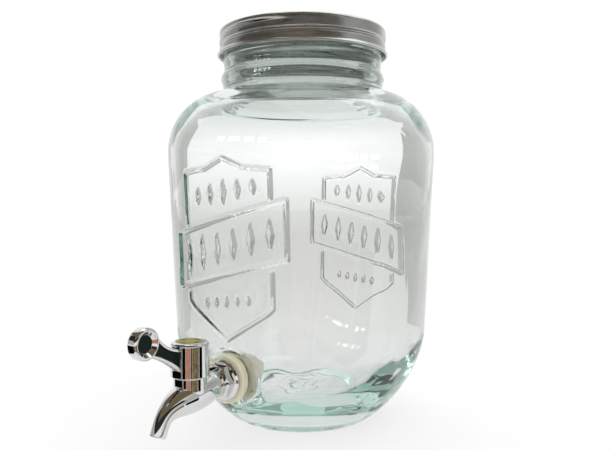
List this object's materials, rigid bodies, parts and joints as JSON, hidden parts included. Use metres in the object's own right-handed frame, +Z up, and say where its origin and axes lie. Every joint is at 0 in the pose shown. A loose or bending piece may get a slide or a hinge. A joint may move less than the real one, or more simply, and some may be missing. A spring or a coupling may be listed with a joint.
{
  "type": "glass drinks dispenser",
  "caption": "Rounded four-sided glass jar with a wide neck, a screw lid and a lever tap low on its front, for storing and pouring drinks.",
  "frame": {"origin": "on the jar's axis, in the plane that the base rests on", "axes": "+Z up along the jar's axis, -Y towards the tap, +X to the right for someone who faces the tap"},
  "size_m": [0.1694, 0.2392, 0.26],
  "materials": {
    "jar_glass": "clear pressed glass",
    "lid_tinplate": "satin tinplate",
    "liner_rubber": "matte",
    "tap_chrome": "polished chrome plate",
    "washer_silicone": "matte moulded silicone",
    "nut_plastic": "moulded",
    "plug_plastic": "moulded",
    "ring_rubber": "smooth",
    "fastener_steel": "bright",
    "badge_plastic": "gloss"
  },
  "bodies": {
    "jar": {"jar": "jar_glass", "tap_body": "tap_chrome", "outer_washer": "washer_silicone", "inner_washer": "washer_silicone", "lock_nut": "nut_plastic", "retaining_ring": "fastener_steel"},
    "lid_liner": {"lid_seal": "liner_rubber"},
    "lid": {"lid_shell": "lid_tinplate"},
    "handle": {"handle": "tap_chrome", "valve_plug": "plug_plastic", "plug_o_ring_upper": "ring_rubber", "plug_o_ring_lower": "ring_rubber", "handle_screw": "fastener_steel", "handle_badge": "badge_plastic"}
  },
  "joints": [
    {"name": "lid_rise", "type": "slide", "parent": "jar", "child": "lid_liner", "axis": [0, 0, 1], "range_m": [0, 0.008]},
    {"name": "lid_turn", "type": "hinge", "parent": "lid_liner", "child": "lid", "pos_m": [0, 0, 0.25], "axis": [0, 0, 1], "range_deg": [0, 450]},
    {"name": "handle_turn", "type": "hinge", "parent": "jar", "child": "handle", "pos_m": [0, -0.1116, 0.0488], "axis": [0, 0, 1], "range_deg": [-90, 90]}
  ],
  "couplings": [
    {"joint": "lid_rise", "follows": "lid_turn", "m_per_rad": 0.0010106}
  ]
}
